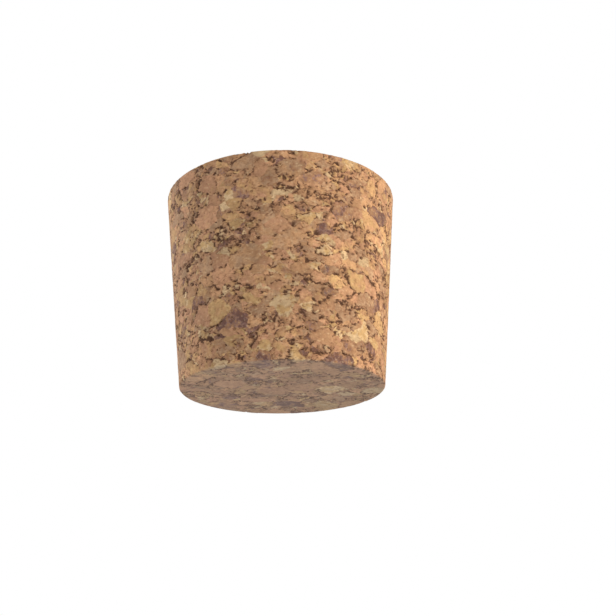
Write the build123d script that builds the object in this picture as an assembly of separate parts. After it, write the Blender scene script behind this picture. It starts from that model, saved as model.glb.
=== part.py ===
from build123d import *

import os

# Cork stopper: one solid plug of pressed cork granules, ground to a plain taper.
# Frame: origin at the centre of the narrow end face, +Z along the axis to the wide end.
# The stopper stands on its narrow end. All sizes are in millimetres.

WIDE_END_DIAMETER = 35.0
NARROW_END_DIAMETER = 30.0
STOPPER_HEIGHT = 30.0
RIM_ROUNDING = 0.3  # radius that grinding leaves on the rim of each end face


def make_stopper_body() -> Part:
    """Turn the stopper's half section about its axis, with both rims slightly rounded."""
    wide_radius = WIDE_END_DIAMETER / 2
    narrow_radius = NARROW_END_DIAMETER / 2

    with BuildPart() as stopper:
        with BuildSketch(Plane.XZ) as half_section:
            with BuildLine():
                Polyline(
                    (0, 0),
                    (narrow_radius, 0),
                    (wide_radius, STOPPER_HEIGHT),
                    (0, STOPPER_HEIGHT),
                    close=True,
                )
            make_face()
            rim_corners = half_section.vertices().sort_by(Axis.X)[-2:]
            fillet(rim_corners, radius=RIM_ROUNDING)
        revolve(axis=Axis.Z)
    return stopper.part


def main() -> None:
    """Build the stopper and write it as one STEP file."""
    os.makedirs("parts", exist_ok=True)
    stopper_body = make_stopper_body()
    stopper_body.label = "stopper_body"
    export_step(stopper_body, "parts/stopper_body.step")


main()
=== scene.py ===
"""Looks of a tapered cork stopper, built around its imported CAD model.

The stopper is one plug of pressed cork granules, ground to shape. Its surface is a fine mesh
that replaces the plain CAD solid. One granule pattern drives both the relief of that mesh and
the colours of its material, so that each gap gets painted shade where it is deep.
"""

import logging
import math
from dataclasses import dataclass, field
from enum import Enum

import bmesh
import bpy
import numpy as np
from mathutils import Matrix, Vector


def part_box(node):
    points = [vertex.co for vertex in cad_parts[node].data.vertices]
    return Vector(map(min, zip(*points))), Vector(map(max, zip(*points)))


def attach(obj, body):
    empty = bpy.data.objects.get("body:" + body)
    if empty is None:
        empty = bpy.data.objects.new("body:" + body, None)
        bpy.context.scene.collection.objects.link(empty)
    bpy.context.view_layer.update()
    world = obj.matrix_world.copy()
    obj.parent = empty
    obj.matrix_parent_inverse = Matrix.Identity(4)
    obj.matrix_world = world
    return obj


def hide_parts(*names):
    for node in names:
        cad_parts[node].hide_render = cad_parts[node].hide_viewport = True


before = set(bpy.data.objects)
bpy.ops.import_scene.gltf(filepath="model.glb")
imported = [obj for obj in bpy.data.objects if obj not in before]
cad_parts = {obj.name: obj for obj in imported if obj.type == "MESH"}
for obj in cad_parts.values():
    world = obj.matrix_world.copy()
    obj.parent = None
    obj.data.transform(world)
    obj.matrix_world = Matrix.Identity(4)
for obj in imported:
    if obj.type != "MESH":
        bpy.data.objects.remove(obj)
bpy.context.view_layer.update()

MM = 0.001
REST_PLACE = "ground_place"
FLAT_MAP = "OFBake"

# A noise texture gives values around its middle, nearly all of them between low and high.
NOISE_LOW = 0.3
NOISE_MIDDLE = 0.5
NOISE_HIGH = 0.7

log = logging.getLogger("cork_stopper")


def add_node(tree: bpy.types.NodeTree, kind: str, links: dict | None = None,
             **settings: object) -> bpy.types.Node:
    """Add one node with its settings and links.

    Args:
        tree: the node tree that gets the node.
        kind: the node's type name.
        links: input name or index, mapped to a constant or to the output socket that feeds it.
        **settings: properties of the node itself.

    Returns:
        The new node.
    """
    node = tree.nodes.new(kind)
    for name, value in settings.items():
        setattr(node, name, value)
    for key, value in (links or {}).items():
        if isinstance(value, bpy.types.NodeSocket):
            tree.links.new(value, node.inputs[key])
        else:
            node.inputs[key].default_value = value
    return node


def linear_colour(code: str) -> tuple[float, float, float, float]:
    """Turn an sRGB hex colour into linear red, green, blue and full alpha.

    Args:
        code: six hex digits, such as "b98c5f".

    Returns:
        The linear colour.
    """
    channels = [int(code[k:k + 2], 16) / 255 for k in (0, 2, 4)]
    linear = [c / 12.92 if c <= 0.04045 else ((c + 0.055) / 1.055) ** 2.4 for c in channels]
    return (*linear, 1.0)


class Tone(Enum):
    """Colours that cork granules come in: share of the granules, and sRGB colour."""

    BARK = (0.02, "6f4e42")
    PURPLE_BROWN = (0.05, "886759")
    BROWN = (0.12, "9e7351")
    GREY_TAN = (0.16, "aa8563")
    TAN = (0.28, "b7895f")
    PINK_TAN = (0.13, "b68562")
    WARM_TAN = (0.14, "bb8e60")
    GOLD = (0.05, "bd9662")
    PALE = (0.05, "c8a67a")

    @property
    def share(self) -> float:
        """Share of all granules that have this tone."""
        return self.value[0]

    @property
    def colour(self) -> tuple[float, float, float, float]:
        """Linear colour of the tone."""
        return linear_colour(self.value[1])

    @classmethod
    def starts(cls) -> dict["Tone", float]:
        """Lay the tones' shares end to end, in the order above.

        Returns:
            Where each tone starts on the scale from 0 to 1.
        """
        place = 0.0
        starts = {}
        for tone in cls:
            starts[tone] = place
            place += tone.share
        return starts


@dataclass(frozen=True)
class Blotches:
    """Soft blotches of one size, which take a value between a low and a high level."""

    size_mm: float
    low: float
    high: float
    detail: float = 3.0
    roughness: float = 0.6

    def spread(self, tree: bpy.types.NodeTree, place: bpy.types.NodeSocket) -> bpy.types.NodeSocket:
        """Spread the blotches over the cork.

        Args:
            tree: the node tree that gets them.
            place: the point in millimetres.

        Returns:
            The level at that point.
        """
        noise = add_node(tree, "ShaderNodeTexNoise",
                         {"Vector": place, "Scale": 1 / self.size_mm, "Detail": self.detail,
                          "Roughness": self.roughness})
        level = add_node(tree, "ShaderNodeMapRange",
                         {"Value": noise.outputs["Fac"], "From Min": NOISE_LOW, "From Max": NOISE_HIGH,
                          "To Min": self.low, "To Max": self.high})
        return level.outputs[0]


@dataclass(frozen=True)
class Fleck:
    """Flecks of one colour, which show where the fleck noise runs past a level."""

    starts_at: float
    full_at: float
    cover: float
    colour: str


@dataclass(frozen=True)
class GranuleSockets:
    """What the granule pattern gives at each point: all in one node tree."""

    identity: bpy.types.NodeSocket
    hollow: bpy.types.NodeSocket
    dent: bpy.types.NodeSocket
    weakness: bpy.types.NodeSocket
    place: bpy.types.NodeSocket


@dataclass(frozen=True)
class Share:
    """How the cork is shared out at one point: whose granule it is, and how near its border is."""

    identity: bpy.types.NodeSocket
    border: bpy.types.NodeSocket
    opened: bpy.types.NodeSocket


@dataclass(frozen=True)
class GranulePattern:
    """Granules of cork from about 1 to 4 mm, pressed into a block with a binder.

    Granules come in three sizes. Where a large cell isn't filled by one granule, smaller ones
    fill it, and so on down. Borders crumble where they are weak, which leaves gaps and pits.

    block_place_mm is where in the block the stopper was cut, so it settles which granules show.
    Each span is a start and a stop of weakness, counted from the level that the cork holds to.
    """

    block_place_mm: tuple[float, float, float] = (40.0, 40.0, 0.0)
    small_mm: float = 1.0
    medium_mm: float = 2.0
    large_mm: float = 3.4
    medium_share: float = 0.6
    large_share: float = 0.28
    pressed: float = 1.45
    rag_mm: float = 1.3
    rag_depth_mm: float = 1.1
    fine_rag_mm: float = 0.4
    fine_rag_depth_mm: float = 0.24
    rag_detail: float = 2.0
    open_share: float = 0.6
    shut_looseness: float = 0.35
    opening_looseness: float = 1.1
    crumb_mm: float = 0.5
    crumb_detail: float = 2.0
    crumb_roughness: float = 0.5
    cluster_mm: float = 4.5
    cluster_detail: float = 1.0
    seam_mm: float = 0.4
    seam_weakness: float = 0.25
    cluster_weakness: float = 0.38
    holds_to: float = 0.872
    hollow_span: tuple[float, float] = (0.0, 0.14)
    dent_span: tuple[float, float] = (0.02, 0.3)

    def grow(self, tree: bpy.types.NodeTree, place: bpy.types.NodeSocket) -> GranuleSockets:
        """Grow the pattern in a node tree.

        Args:
            tree: a shader or geometry node tree.
            place: the surface point in metres.

        Returns:
            The pattern's outputs.
        """
        place_mm = add_node(tree, "ShaderNodeVectorMath",
                            {0: place, 1: (1 / MM,) * 3, 2: self.block_place_mm}, operation="MULTIPLY_ADD")
        ragged = place_mm.outputs[0]
        for size, depth in ((self.rag_mm, self.rag_depth_mm), (self.fine_rag_mm, self.fine_rag_depth_mm)):
            noise = add_node(tree, "ShaderNodeTexNoise",
                             {"Vector": place_mm.outputs[0], "Scale": 1 / size, "Detail": self.rag_detail})
            centred = add_node(tree, "ShaderNodeVectorMath",
                               {0: noise.outputs["Color"], 1: (NOISE_MIDDLE,) * 3}, operation="SUBTRACT")
            moved = add_node(tree, "ShaderNodeVectorMath",
                             {0: centred.outputs[0], 1: (depth,) * 3, 2: ragged}, operation="MULTIPLY_ADD")
            ragged = moved.outputs[0]
        pressed = add_node(tree, "ShaderNodeVectorMath", {0: ragged, 1: (1, 1, self.pressed)},
                           operation="MULTIPLY")
        share = self._share_out(tree, pressed.outputs[0])
        weakness = self._weaken(tree, share, place_mm.outputs[0], pressed.outputs[0])
        hollow, dent = (
            add_node(tree, "ShaderNodeMapRange",
                     {"Value": weakness, "From Min": self.holds_to + start, "From Max": self.holds_to + stop,
                      "To Min": 0.0, "To Max": 1.0}, interpolation_type="SMOOTHSTEP")
            for start, stop in (self.hollow_span, self.dent_span))
        return GranuleSockets(share.identity, hollow.outputs[0], dent.outputs[0], weakness,
                              place_mm.outputs[0])

    def _weaken(self, tree: bpy.types.NodeTree, share: Share, place: bpy.types.NodeSocket,
                pressed: bpy.types.NodeSocket) -> bpy.types.NodeSocket:
        """Work out how weakly the cork holds together: at open borders, in crumbly clusters.

        Args:
            tree: the node tree.
            share: whose granule the point is in.
            place: the point in millimetres.
            pressed: the same point, ragged and pressed.

        Returns:
            The weakness, above which the cork has crumbled away at the level called holds_to.
        """
        crumble = add_node(tree, "ShaderNodeTexNoise",
                           {"Vector": pressed, "Scale": 1 / self.crumb_mm, "Detail": self.crumb_detail,
                            "Roughness": self.crumb_roughness})
        cluster = add_node(tree, "ShaderNodeTexNoise",
                           {"Vector": place, "Scale": 1 / self.cluster_mm, "Detail": self.cluster_detail})
        near_border = add_node(tree, "ShaderNodeMapRange",
                               {"Value": share.border, "From Min": 0.0, "From Max": self.seam_mm,
                                "To Min": 1.0, "To Max": 0.0})
        looseness = add_node(tree, "ShaderNodeMath",
                             {0: share.opened, 1: self.opening_looseness, 2: self.shut_looseness},
                             operation="MULTIPLY_ADD")
        seam = add_node(tree, "ShaderNodeMath", {0: near_border.outputs[0], 1: looseness.outputs[0]},
                        operation="MULTIPLY")
        weak = add_node(tree, "ShaderNodeMath",
                        {0: seam.outputs[0], 1: self.seam_weakness, 2: crumble.outputs["Fac"]},
                        operation="MULTIPLY_ADD")
        weak = add_node(tree, "ShaderNodeMath",
                        {0: cluster.outputs["Fac"], 1: self.cluster_weakness, 2: weak.outputs[0]},
                        operation="MULTIPLY_ADD")
        return weak.outputs[0]

    def _share_out(self, tree: bpy.types.NodeTree, place: bpy.types.NodeSocket) -> Share:
        """Share the cork out among granules of three sizes, the smallest first.

        Args:
            tree: the node tree.
            place: the point in millimetres, with the ragged outline and the pressing in it.

        Returns:
            Three random numbers that all points of one granule share, the distance to the
            granule's border in millimetres, and how far that border has opened, from 0 to 1.
        """
        result = None
        for size, part in ((self.small_mm, 1.0), (self.medium_mm, self.medium_share),
                           (self.large_mm, self.large_share)):
            near, far = (
                add_node(tree, "ShaderNodeTexVoronoi", {"Vector": place, "Scale": 1 / size}, feature=feature)
                for feature in ("F1", "F2"))
            margin = add_node(tree, "ShaderNodeMath",
                              {0: far.outputs["Distance"], 1: near.outputs["Distance"]},
                              operation="SUBTRACT")
            both = add_node(tree, "ShaderNodeVectorMath",
                            {0: near.outputs["Color"], 1: far.outputs["Color"]}, operation="ADD")
            pair = add_node(tree, "ShaderNodeTexWhiteNoise", {"Vector": both.outputs[0]},
                            noise_dimensions="3D")
            loose = add_node(tree, "ShaderNodeMapRange",
                             {"Value": pair.outputs["Value"], "From Min": self.open_share, "From Max": 0.0,
                              "To Min": 0.0, "To Max": 1.0})
            filled = []
            for cell in (near, far):
                chance = add_node(tree, "ShaderNodeSeparateXYZ", {0: cell.outputs["Color"]})
                filled.append(add_node(tree, "ShaderNodeMath", {0: chance.outputs[2], 1: part},
                                       operation="LESS_THAN"))
            either = add_node(tree, "ShaderNodeMath", {0: filled[0].outputs[0], 1: filled[1].outputs[0]},
                              operation="MAXIMUM")
            absent = add_node(tree, "ShaderNodeMath", {0: 1.0, 1: either.outputs[0]}, operation="SUBTRACT")
            reach = add_node(tree, "ShaderNodeMath",
                             {0: margin.outputs[0], 1: size / 2, 2: absent.outputs[0]},
                             operation="MULTIPLY_ADD")
            if result is None:
                result = Share(near.outputs["Color"], reach.outputs[0], loose.outputs[0])
                continue
            nearer = add_node(tree, "ShaderNodeMath", {0: reach.outputs[0], 1: result.border},
                              operation="LESS_THAN")
            taken = add_node(tree, "ShaderNodeMath", {0: nearer.outputs[0], 1: filled[0].outputs[0]},
                             operation="MAXIMUM")
            chosen = add_node(tree, "ShaderNodeMix",
                              {0: filled[0].outputs[0], 4: result.identity, 5: near.outputs["Color"]},
                              data_type="VECTOR")
            border = add_node(tree, "ShaderNodeMix",
                              {0: taken.outputs[0], 2: result.border, 3: reach.outputs[0]},
                              data_type="FLOAT")
            opened = add_node(tree, "ShaderNodeMix",
                              {0: taken.outputs[0], 2: result.opened, 3: loose.outputs[0]},
                              data_type="FLOAT")
            result = Share(chosen.outputs[1], border.outputs[0], opened.outputs[0])
        return result


@dataclass(frozen=True)
class PressedCork:
    """Agglomerated cork: ground bark pressed with a binder, cut and ground on a belt.

    Cut cork cells scatter light, so it is matt all over. Each granule shows its own tone, with
    brown specks and pale torn flecks in it. The weak places between granules show as pits filled
    with painted shade, in a brown stain that also paints shade round them and along weak seams.

    The span of the stain and its painted shade counts from the level that the cork holds to, as the
    pattern's spans do.
    The span of the dust and painted shade is the depth below an end face at which it starts and at which it
    is full.
    """

    pattern: GranulePattern = GranulePattern()
    # Painted shade that fills the pits where they are deep.
    pit_shade_colour: str = "62432f"
    # Brown stain, with painted shade round the pits and along weak seams.
    stain_and_shade_colour: str = "855a3b"
    stain_and_shade_cover: float = 0.5
    stain_and_shade_span: tuple[float, float] = (-0.16, 0.03)
    # Dust and painted shade, which grey and even both end faces.
    dust_and_shade_colour: str = "937f6c"
    dust_and_shade_cover: float = 0.34
    dust_and_shade_span_mm: tuple[float, float] = (0.2, 0.03)
    roughness: float = 0.9
    ior: float = 1.45
    specular: float = 0.25
    bump_strength: float = 0.5
    bump_depth: float = 0.08 * MM
    grain_mm: float = 0.45
    grain_squeeze: tuple[float, float, float] = (1.0, 0.35, 1.0)
    grain_detail: float = 3.0
    grain_roughness: float = 0.6
    grain_levels: tuple[float, float] = (0.87, 1.11)
    granule_levels: tuple[float, float] = (0.84, 1.16)
    fleck_mm: float = 0.55
    fleck_squeeze: tuple[float, float, float] = (1.0, 1.0, 1.6)
    fleck_detail: float = 3.0
    fleck_roughness: float = 0.62
    flecks: tuple[Fleck, ...] = (
        Fleck(starts_at=0.59, full_at=0.69, cover=0.6, colour="86593c"),
        Fleck(starts_at=0.41, full_at=0.31, cover=0.45, colour="dcba8c"),
    )
    tone_drift: Blotches = Blotches(size_mm=1.2, low=-0.12, high=0.12)
    shades: tuple[Blotches, ...] = (
        Blotches(size_mm=0.9, low=0.84, high=1.16, detail=4.0, roughness=0.6),
        Blotches(size_mm=5.0, low=0.88, high=1.12, detail=1.0),
    )

    def material(self, base: float, top: float) -> bpy.types.Material:
        """Make the material.

        Args:
            base: height of the narrow end, in metres.
            top: height of the wide end, in metres.

        Returns:
            A material whose colour and fine relief come from the granule pattern.
        """
        made = bpy.data.materials.new("pressed_cork")
        made.use_nodes = True
        tree = made.node_tree
        tree.nodes.clear()
        place = add_node(tree, "ShaderNodeAttribute", attribute_name=REST_PLACE)
        granules = self.pattern.grow(tree, place.outputs["Vector"])
        numbers = add_node(tree, "ShaderNodeSeparateXYZ", {0: granules.identity})
        grain = self._grain(tree, granules)
        body = self._granule_tone(tree, granules, numbers, grain)
        body = self._flecks(tree, granules, body)
        body = self._weak_places(tree, granules, body)
        colour = self._dust_and_end_shade(tree, granules, body, base, top)
        height = add_node(tree, "ShaderNodeMath", {0: grain, 1: granules.hollow}, operation="SUBTRACT")
        bump = add_node(tree, "ShaderNodeBump",
                        {"Height": height.outputs[0], "Strength": self.bump_strength,
                         "Distance": self.bump_depth})
        skin = add_node(tree, "ShaderNodeBsdfPrincipled",
                        {"Base Color": colour, "Roughness": self.roughness, "IOR": self.ior,
                         "Specular IOR Level": self.specular, "Normal": bump.outputs[0]})
        add_node(tree, "ShaderNodeOutputMaterial", {"Surface": skin.outputs[0]})
        return made

    def _grain(self, tree: bpy.types.NodeTree, granules: GranuleSockets) -> bpy.types.NodeSocket:
        """Draw the bark's fine layers, which lie another way in each granule.

        Args:
            tree: the material's node tree.
            granules: the granule pattern.

        Returns:
            The grain, from 0 to 1.
        """
        turn = add_node(tree, "ShaderNodeVectorMath", {0: granules.identity, 1: (2 * math.pi,) * 3},
                        operation="MULTIPLY")
        turned = add_node(tree, "ShaderNodeVectorRotate",
                          {"Vector": granules.place, "Rotation": turn.outputs[0]}, rotation_type="EULER_XYZ")
        drawn = add_node(tree, "ShaderNodeVectorMath", {0: turned.outputs[0], 1: self.grain_squeeze},
                         operation="MULTIPLY")
        grain = add_node(tree, "ShaderNodeTexNoise",
                         {"Vector": drawn.outputs[0], "Scale": 1 / self.grain_mm,
                          "Detail": self.grain_detail, "Roughness": self.grain_roughness})
        return grain.outputs["Fac"]

    def _granule_tone(self, tree: bpy.types.NodeTree, granules: GranuleSockets, numbers: bpy.types.Node,
                      grain: bpy.types.NodeSocket) -> bpy.types.NodeSocket:
        """Give each granule its tone, with the blotches and the grain of real bark in it.

        Args:
            tree: the material's node tree.
            granules: the granule pattern.
            numbers: the granule's three random numbers.
            grain: the fine layers of the bark.

        Returns:
            The colour.
        """
        drift = self.tone_drift.spread(tree, granules.place)
        on_scale = add_node(tree, "ShaderNodeMath", {0: numbers.outputs[0], 1: drift}, operation="ADD")
        palette = add_node(tree, "ShaderNodeValToRGB", {0: on_scale.outputs[0]})
        stops = palette.color_ramp.elements
        stops.remove(stops[1])
        stops[0].color = Tone.BARK.colour
        for tone, start in list(Tone.starts().items())[1:]:
            stops.new(start).color = tone.colour
        darkest, lightest = self.granule_levels
        shade = add_node(tree, "ShaderNodeMapRange",
                         {"Value": numbers.outputs[1], "To Min": darkest, "To Max": lightest})
        light = shade.outputs[0]
        darkest, lightest = self.grain_levels
        grained = add_node(tree, "ShaderNodeMapRange",
                           {"Value": grain, "From Min": NOISE_LOW, "From Max": NOISE_HIGH,
                            "To Min": darkest, "To Max": lightest})
        for level in (grained.outputs[0], *(s.spread(tree, granules.place) for s in self.shades)):
            light = add_node(tree, "ShaderNodeMath", {0: light, 1: level}, operation="MULTIPLY").outputs[0]
        body = add_node(tree, "ShaderNodeVectorMath", {0: palette.outputs[0], 3: light}, operation="SCALE")
        return body.outputs[0]

    def _flecks(self, tree: bpy.types.NodeTree, granules: GranuleSockets,
                body: bpy.types.NodeSocket) -> bpy.types.NodeSocket:
        """Scatter small brown specks of hard bark and pale flecks of torn cork.

        Args:
            tree: the material's node tree.
            granules: the granule pattern.
            body: the colour so far.

        Returns:
            The colour with both in it.
        """
        squeezed = add_node(tree, "ShaderNodeVectorMath", {0: granules.place, 1: self.fleck_squeeze},
                            operation="MULTIPLY")
        noise = add_node(tree, "ShaderNodeTexNoise",
                         {"Vector": squeezed.outputs[0], "Scale": 1 / self.fleck_mm,
                          "Detail": self.fleck_detail, "Roughness": self.fleck_roughness})
        for fleck in self.flecks:
            amount = add_node(tree, "ShaderNodeMapRange",
                              {"Value": noise.outputs["Fac"], "From Min": fleck.starts_at,
                               "From Max": fleck.full_at, "To Min": 0.0, "To Max": fleck.cover})
            mixed = add_node(tree, "ShaderNodeMix",
                             {0: amount.outputs[0], 6: body, 7: linear_colour(fleck.colour)},
                             data_type="RGBA")
            body = mixed.outputs[2]
        return body

    def _weak_places(self, tree: bpy.types.NodeTree, granules: GranuleSockets,
                     body: bpy.types.NodeSocket) -> bpy.types.NodeSocket:
        """Stain the weak places brown, with painted shade round the pits, and fill the hollows with painted
        shade.

        Args:
            tree: the material's node tree.
            granules: the granule pattern.
            body: the colour so far.

        Returns:
            The colour with both in it.
        """
        start, stop = (self.pattern.holds_to + step for step in self.stain_and_shade_span)
        # Brown stain and painted shade: darker round the pits and along weak seams.
        stain_and_shade_amount = add_node(tree, "ShaderNodeMapRange",
                         {"Value": granules.weakness, "From Min": start, "From Max": stop,
                          "To Min": 0.0, "To Max": self.stain_and_shade_cover})
        stained_and_shaded = add_node(tree, "ShaderNodeMix",
                           {0: stain_and_shade_amount.outputs[0], 6: body, 7: linear_colour(self.stain_and_shade_colour)},
                           data_type="RGBA")
        # Painted shade: the pits turn dark where the relief is deep.
        shaded_pits = add_node(tree, "ShaderNodeMix",
                            {0: granules.hollow, 6: stained_and_shaded.outputs[2], 7: linear_colour(self.pit_shade_colour)},
                            data_type="RGBA")
        return shaded_pits.outputs[2]

    def _dust_and_end_shade(self, tree: bpy.types.NodeTree, granules: GranuleSockets, body: bpy.types.NodeSocket,
                 base: float, top: float) -> bpy.types.NodeSocket:
        """Grey and even the two end faces: fine cork dust from the cut, and painted shade.

        Args:
            tree: the material's node tree.
            granules: the granule pattern.
            body: the colour so far.
            base: height of the narrow end, in metres.
            top: height of the wide end, in metres.

        Returns:
            The colour with the dust and the painted shade on it.
        """
        middle = (top + base) / 2 / MM + self.pattern.block_place_mm[2]
        half = (top - base) / 2 / MM
        parts = add_node(tree, "ShaderNodeSeparateXYZ", {0: granules.place})
        above = add_node(tree, "ShaderNodeMath", {0: parts.outputs[2], 1: middle}, operation="SUBTRACT")
        away = add_node(tree, "ShaderNodeMath", {0: above.outputs[0]}, operation="ABSOLUTE")
        starts_below, full_below = self.dust_and_shade_span_mm
        cover = add_node(tree, "ShaderNodeMapRange",
                         {"Value": away.outputs[0], "From Min": half - starts_below,
                          "From Max": half - full_below, "To Min": 0.0, "To Max": self.dust_and_shade_cover})
        # Dust and painted shade: both end faces turn greyer and flatter.
        dusted_and_shaded = add_node(tree, "ShaderNodeMix",
                          {0: cover.outputs[0], 6: body, 7: linear_colour(self.dust_and_shade_colour)},
                          data_type="RGBA")
        return dusted_and_shaded.outputs[2]


@dataclass
class StopperBody:
    """The ground plug: a straight taper with two flat ends and slightly rounded rims."""

    finish: PressedCork = field(default_factory=PressedCork)
    wide_radius: float = 17.5 * MM
    narrow_radius: float = 15.0 * MM
    rim_rounding: float = 0.3 * MM
    segments: int = 448
    side_rows: int = 140
    rim_rows: int = 3
    dent_depth: float = 0.35 * MM
    step_depth: float = 0.04 * MM
    unrolled_gap: float = 1.0 * MM

    def __post_init__(self) -> None:
        """Take both heights from the CAD model."""
        low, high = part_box("stopper_body")
        self.base, self.top = low.z, high.z

    def build(self) -> bpy.types.Object:
        """Build the plug's mesh, press the granule relief into it and dress it.

        Returns:
            The finished piece, which stands for the plain CAD solid.
        """
        plug = self._plain_plug()
        self._press_relief(plug)
        plug.data.materials.clear()
        plug.data.materials.append(self.finish.material(self.base, self.top))
        plug.data.shade_smooth()
        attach(plug, "root")
        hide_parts("stopper_body")
        return plug

    def profile(self) -> list[Vector]:
        """Run down the side, from the rim of the wide end to that of the narrow end.

        Returns:
            Points of radius and height, evenly spaced on the straight side and on both rims.
        """
        taper = math.atan2(self.wide_radius - self.narrow_radius, self.top - self.base)
        points = []
        for radius, height, inward, first, last in (
            (self.wide_radius, self.top, -1, math.pi / 2, -taper),
            (self.narrow_radius, self.base, 1, -taper, -math.pi / 2),
        ):
            half_corner = (math.pi - (first - last)) / 2
            centre = Vector((radius - self.rim_rounding / math.tan(half_corner),
                             height + inward * self.rim_rounding))
            for k in range(self.rim_rows + 1):
                angle = first + (last - first) * k / self.rim_rows
                points.append(centre + self.rim_rounding * Vector((math.cos(angle), math.sin(angle))))
        upper, lower = points[self.rim_rows], points[self.rim_rows + 1]
        side = [upper.lerp(lower, k / self.side_rows) for k in range(1, self.side_rows)]
        return points[:self.rim_rows + 1] + side + points[self.rim_rows + 1:]

    def end_net(self, radius: float, height: float) -> np.ndarray:
        """Pull a square net into a disc, so that its outer edge lies on the rim.

        Args:
            radius: radius of the flat end.
            height: height of the flat end.

        Returns:
            The net's points, by row and column.
        """
        grid = np.linspace(-1, 1, self.segments // 4 + 1)
        x, y = np.meshgrid(grid, grid, indexing="ij")
        wider = np.abs(x) >= np.abs(y)
        reach = np.maximum(np.abs(x), np.abs(y))
        along = np.where(wider, y / np.where(x == 0, 1, np.abs(x)), 0) * np.pi / 4
        across = np.where(wider, 0, x / np.where(y == 0, 1, np.abs(y))) * np.pi / 4
        angle = np.where(wider, np.where(x >= 0, along, np.pi - along),
                         np.where(y >= 0, np.pi / 2 - across, across - np.pi / 2))
        return np.stack([radius * reach * np.cos(angle), radius * reach * np.sin(angle),
                         np.full_like(x, height)], -1)

    def _plain_plug(self) -> bpy.types.Object:
        """Make the smooth ground outline as one closed net of four-sided faces.

        Returns:
            The plug, with its smooth shape kept in an attribute and laid flat in a UV map.
        """
        profile = self.profile()
        vertices, faces, flat = self._side(profile)
        half_turn = math.pi * self.wide_radius
        disc_middle = half_turn + 2 * self.unrolled_gap + self.wide_radius
        disc_foot = self.unrolled_gap
        for row, faces_up in ((0, True), (len(profile) - 1, False)):
            radius = profile[row].x
            middle = (disc_middle, disc_foot + radius)
            self._add_end(profile[row], row * self.segments, faces_up, middle, vertices, faces, flat)
            disc_foot += 2 * radius + self.unrolled_gap
        sheet = disc_middle + self.wide_radius + self.unrolled_gap

        mesh = bpy.data.meshes.new("stopper_plug")
        mesh.from_pydata(vertices, [], faces)
        mesh.update()
        rest = mesh.attributes.new(REST_PLACE, "FLOAT_VECTOR", "POINT")
        rest.data.foreach_set("vector", np.array(vertices, np.float32).ravel())
        unrolled = mesh.uv_layers.new(name=FLAT_MAP)
        unrolled.data.foreach_set("uv", (np.array(flat, np.float32) / sheet).ravel())
        plug = bpy.data.objects.new("stopper_plug", mesh)
        bpy.context.scene.collection.objects.link(plug)
        return plug

    def _side(self, profile: list[Vector]) -> tuple[list, list, list]:
        """Turn the profile round the axis, and unroll it into two half-turn strips.

        Args:
            profile: points of radius and height.

        Returns:
            The vertices, the faces, and each face corner's place on the flat sheet.
        """
        count = self.segments
        half = count // 2
        first = -math.pi / 4
        turns = [first + 2 * math.pi * j / count for j in range(count)]
        vertices = [(p.x * math.cos(t), p.x * math.sin(t), p.y) for p in profile for t in turns]
        step = 2 * math.pi * self.wide_radius / count
        down = [0.0]
        for upper, lower in zip(profile, profile[1:]):
            down.append(down[-1] + (lower - upper).length)
        faces, flat = [], []
        for i in range(len(profile) - 1):
            for j in range(count):
                k = (j + 1) % count
                faces.append((i * count + j, (i + 1) * count + j, (i + 1) * count + k, i * count + k))
                strip, place = divmod(j, half)
                left = self.unrolled_gap + place * step
                head = (strip + 1) * (down[-1] + self.unrolled_gap)
                flat += [(left, head - down[i]), (left, head - down[i + 1]),
                         (left + step, head - down[i + 1]), (left + step, head - down[i])]
        return vertices, faces, flat

    def _add_end(self, rim: Vector, rim_start: int, faces_up: bool, middle: tuple[float, float],
                 vertices: list, faces: list, flat: list) -> None:
        """Close one end with a net that shares the rim's vertices.

        Args:
            rim: radius and height of the flat end.
            rim_start: index of the rim's first vertex.
            faces_up: whether the end faces up.
            middle: where the disc's middle lies on the flat sheet.
            vertices: the plug's vertices, which get the new ones.
            faces: the plug's faces, which get the new ones.
            flat: the face corners' places on the flat sheet, which get the new ones.
        """
        n = self.segments // 4
        across = 1 if faces_up else -1
        net = self.end_net(rim.x, rim.y)
        index = np.full((n + 1, n + 1), -1)
        for k in range(n):
            index[n, k] = rim_start + k
            index[n - k, n] = rim_start + n + k
            index[0, n - k] = rim_start + 2 * n + k
            index[k, 0] = rim_start + 3 * n + k
        for i, j in zip(*np.where(index < 0)):
            index[i, j] = len(vertices)
            vertices.append(tuple(net[i, j]))
        for i in range(n):
            for j in range(n):
                corners = [(i, j), (i + 1, j), (i + 1, j + 1), (i, j + 1)]
                corners = corners if faces_up else corners[::-1]
                faces.append(tuple(int(index[c]) for c in corners))
                flat += [(middle[0] + across * net[c][0], middle[1] + net[c][1]) for c in corners]

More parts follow.
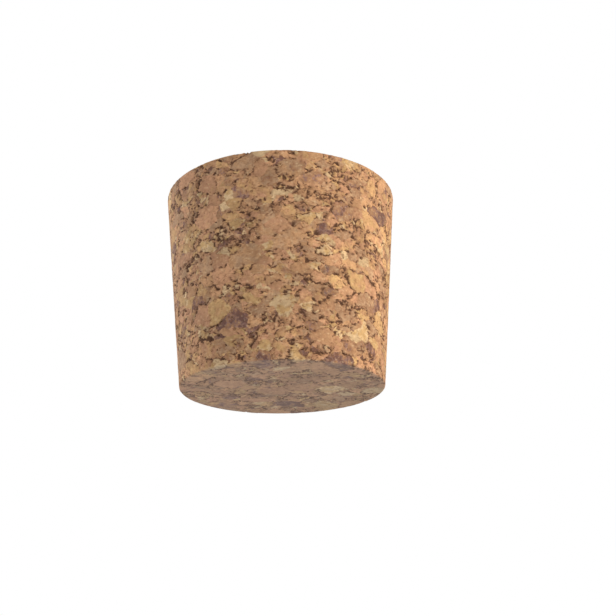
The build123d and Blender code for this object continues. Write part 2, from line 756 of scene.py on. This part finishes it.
    def _press_relief(self, plug: bpy.types.Object) -> None:
        """Sink the gaps and pits into the mesh, and set each granule at its own level.

        Args:
            plug: the smooth plug, whose mesh is replaced by the pressed one.
        """
        tree = bpy.data.node_groups.new("granule_relief", "GeometryNodeTree")
        tree.interface.new_socket("Geometry", in_out="INPUT", socket_type="NodeSocketGeometry")
        tree.interface.new_socket("Geometry", in_out="OUTPUT", socket_type="NodeSocketGeometry")
        entry = add_node(tree, "NodeGroupInput")
        place = add_node(tree, "GeometryNodeInputNamedAttribute", {"Name": REST_PLACE},
                         data_type="FLOAT_VECTOR")
        granules = self.finish.pattern.grow(tree, place.outputs[0])
        numbers = add_node(tree, "ShaderNodeSeparateXYZ", {0: granules.identity})
        depth = add_node(tree, "ShaderNodeMath", {0: numbers.outputs[1], 1: self.step_depth},
                         operation="MULTIPLY")
        depth = add_node(tree, "ShaderNodeMath",
                         {0: granules.dent, 1: self.dent_depth, 2: depth.outputs[0]},
                         operation="MULTIPLY_ADD")
        inward = add_node(tree, "ShaderNodeMath", {0: depth.outputs[0], 1: -1.0}, operation="MULTIPLY")
        normal = add_node(tree, "GeometryNodeInputNormal")
        offset = add_node(tree, "ShaderNodeVectorMath", {0: normal.outputs[0], 3: inward.outputs[0]},
                          operation="SCALE")
        moved = add_node(tree, "GeometryNodeSetPosition",
                         {"Geometry": entry.outputs[0], "Offset": offset.outputs[0]})
        add_node(tree, "NodeGroupOutput", {0: moved.outputs[0]})
        press = plug.modifiers.new("granule_relief", "NODES")
        press.node_group = tree
        pressed = bpy.data.meshes.new_from_object(plug.evaluated_get(bpy.context.evaluated_depsgraph_get()))
        plug.modifiers.clear()
        plug.data = pressed
        bpy.data.node_groups.remove(tree)


@dataclass(frozen=True)
class Lamp:
    """One soft round lamp, turned to the stopper's middle."""

    name: str
    azimuth_deg: float
    elevation_deg: float
    watts: float
    colour: str
    distance: float = 0.5
    diameter: float = 0.35

    def build(self, target: Vector) -> None:
        """Hang the lamp.

        Args:
            target: the point that it shines at.
        """
        data = bpy.data.lights.new(self.name, "AREA")
        data.shape = "DISK"
        data.size = self.diameter
        data.energy = self.watts
        data.color = linear_colour(self.colour)[:3]
        lamp = bpy.data.objects.new(self.name, data)
        bpy.context.scene.collection.objects.link(lamp)
        azimuth, elevation = math.radians(self.azimuth_deg), math.radians(self.elevation_deg)
        back = Vector((math.sin(azimuth) * math.cos(elevation),
                       -math.cos(azimuth) * math.cos(elevation),
                       math.sin(elevation)))
        lamp.location = target + back * self.distance
        lamp.rotation_mode = "QUATERNION"
        lamp.rotation_quaternion = back.to_track_quat("Z", "Y")
        lamp.visible_camera = False


@dataclass(frozen=True)
class Studio:
    """Plain pale floor, white surround, soft lamps and the camera."""

    camera_place_mm: tuple[float, float, float] = (0.0, -141.2, -37.8)
    lens_mm: float = 58.3
    sensor_mm: float = 36.0
    pitch_deg: float = 19.65
    yaw_deg: float = -1.6
    roll_deg: float = -1.11
    sees_from: float = 1 * MM
    fill_colour: str = "ebf2ff"
    fill_strength: float = 0.69
    floor_colour: str = "e9e9e9"
    floor_radius: float = 0.5
    floor_segments: int = 96
    floor_fades_from: float = 0.12
    floor_fades_to: float = 0.42
    floor_drop: float = 0.1 * MM
    stopper_middle: float = 15 * MM
    lamps: tuple[Lamp, ...] = (
        Lamp("right", 90, 19, 2.2, "fff7e7"),
        Lamp("front", 36, 19, 0.97, "fff4e2"),
        Lamp("back_left", -120, 19, 1.75, "ffffff"),
        Lamp("below", 20, -70, 0.72, "d7e7ff", distance=0.4, diameter=0.3),
    )

    def build(self) -> None:
        """Set up the whole studio."""
        self._camera()
        self._surround()
        self._floor()
        for lamp in self.lamps:
            lamp.build(Vector((0, 0, self.stopper_middle)))
        bpy.context.scene.view_settings.view_transform = "Standard"

    def _camera(self) -> None:
        """Place the camera below the stopper's base, looking up at its narrow end."""
        data = bpy.data.cameras.new("camera")
        data.lens = self.lens_mm
        data.sensor_width = self.sensor_mm
        data.clip_start = self.sees_from
        camera = bpy.data.objects.new("camera", data)
        bpy.context.scene.collection.objects.link(camera)
        turn = (Matrix.Rotation(math.radians(self.yaw_deg), 4, "Z")
                @ Matrix.Rotation(math.radians(90 + self.pitch_deg), 4, "X")
                @ Matrix.Rotation(math.radians(self.roll_deg), 4, "Z"))
        camera.matrix_world = Matrix.Translation(Vector(self.camera_place_mm) * MM) @ turn
        bpy.context.scene.camera = camera

    def _surround(self) -> None:
        """White for the camera, and a dimmer, slightly cool fill for the cork."""
        world = bpy.data.worlds.new("surround")
        world.use_nodes = True
        tree = world.node_tree
        tree.nodes.clear()
        path = add_node(tree, "ShaderNodeLightPath")
        seen = path.outputs["Is Camera Ray"]
        for other in ("Is Glossy Ray", "Is Transmission Ray"):
            either = add_node(tree, "ShaderNodeMath", {0: seen, 1: path.outputs[other]},
                              operation="MAXIMUM")
            seen = either.outputs[0]
        fill = add_node(tree, "ShaderNodeBackground",
                        {"Color": linear_colour(self.fill_colour), "Strength": self.fill_strength})
        white = add_node(tree, "ShaderNodeBackground", {"Color": (1, 1, 1, 1), "Strength": 1.0})
        mixed = add_node(tree, "ShaderNodeMixShader", {0: seen, 1: fill.outputs[0], 2: white.outputs[0]})
        add_node(tree, "ShaderNodeOutputWorld", {0: mixed.outputs[0]})
        bpy.context.scene.world = world

    def _floor(self) -> None:
        """Lay a pale floor that shows from above only, and fades into the white surround."""
        mesh = bpy.data.meshes.new("floor")
        bm = bmesh.new()
        bmesh.ops.create_circle(bm, cap_ends=True, radius=self.floor_radius, segments=self.floor_segments)
        bmesh.ops.translate(bm, verts=bm.verts, vec=(0, 0, -self.floor_drop))
        bm.to_mesh(mesh)
        bm.free()
        floor = bpy.data.objects.new("floor", mesh)
        bpy.context.scene.collection.objects.link(floor)
        made = bpy.data.materials.new("floor")
        made.use_nodes = True
        tree = made.node_tree
        tree.nodes.clear()
        spot = add_node(tree, "ShaderNodeNewGeometry")
        away = add_node(tree, "ShaderNodeVectorMath", {0: spot.outputs["Position"]}, operation="LENGTH")
        faded = add_node(tree, "ShaderNodeMapRange",
                         {"Value": away.outputs["Value"], "From Min": self.floor_fades_from,
                          "From Max": self.floor_fades_to}, interpolation_type="SMOOTHSTEP")
        unseen = add_node(tree, "ShaderNodeMath", {0: spot.outputs["Backfacing"], 1: faded.outputs[0]},
                          operation="MAXIMUM")
        pale = add_node(tree, "ShaderNodeBsdfDiffuse", {"Color": linear_colour(self.floor_colour)})
        clear = add_node(tree, "ShaderNodeBsdfTransparent")
        mixed = add_node(tree, "ShaderNodeMixShader",
                         {0: unseen.outputs[0], 1: pale.outputs[0], 2: clear.outputs[0]})
        add_node(tree, "ShaderNodeOutputMaterial", {0: mixed.outputs[0]})
        mesh.materials.append(made)
        floor.visible_shadow = False
        floor.visible_diffuse = False


def main() -> None:
    """Build the stopper and its studio."""
    logging.basicConfig(level=logging.INFO, format="%(name)s: %(message)s")
    plug = StopperBody().build()
    log.info("%s: %d vertices, %d faces", plug.name, len(plug.data.vertices), len(plug.data.polygons))
    Studio().build()
    log.info("studio: %d lamps, a floor and a camera", len(Studio.lamps))


if __name__ == "__main__":
    main()
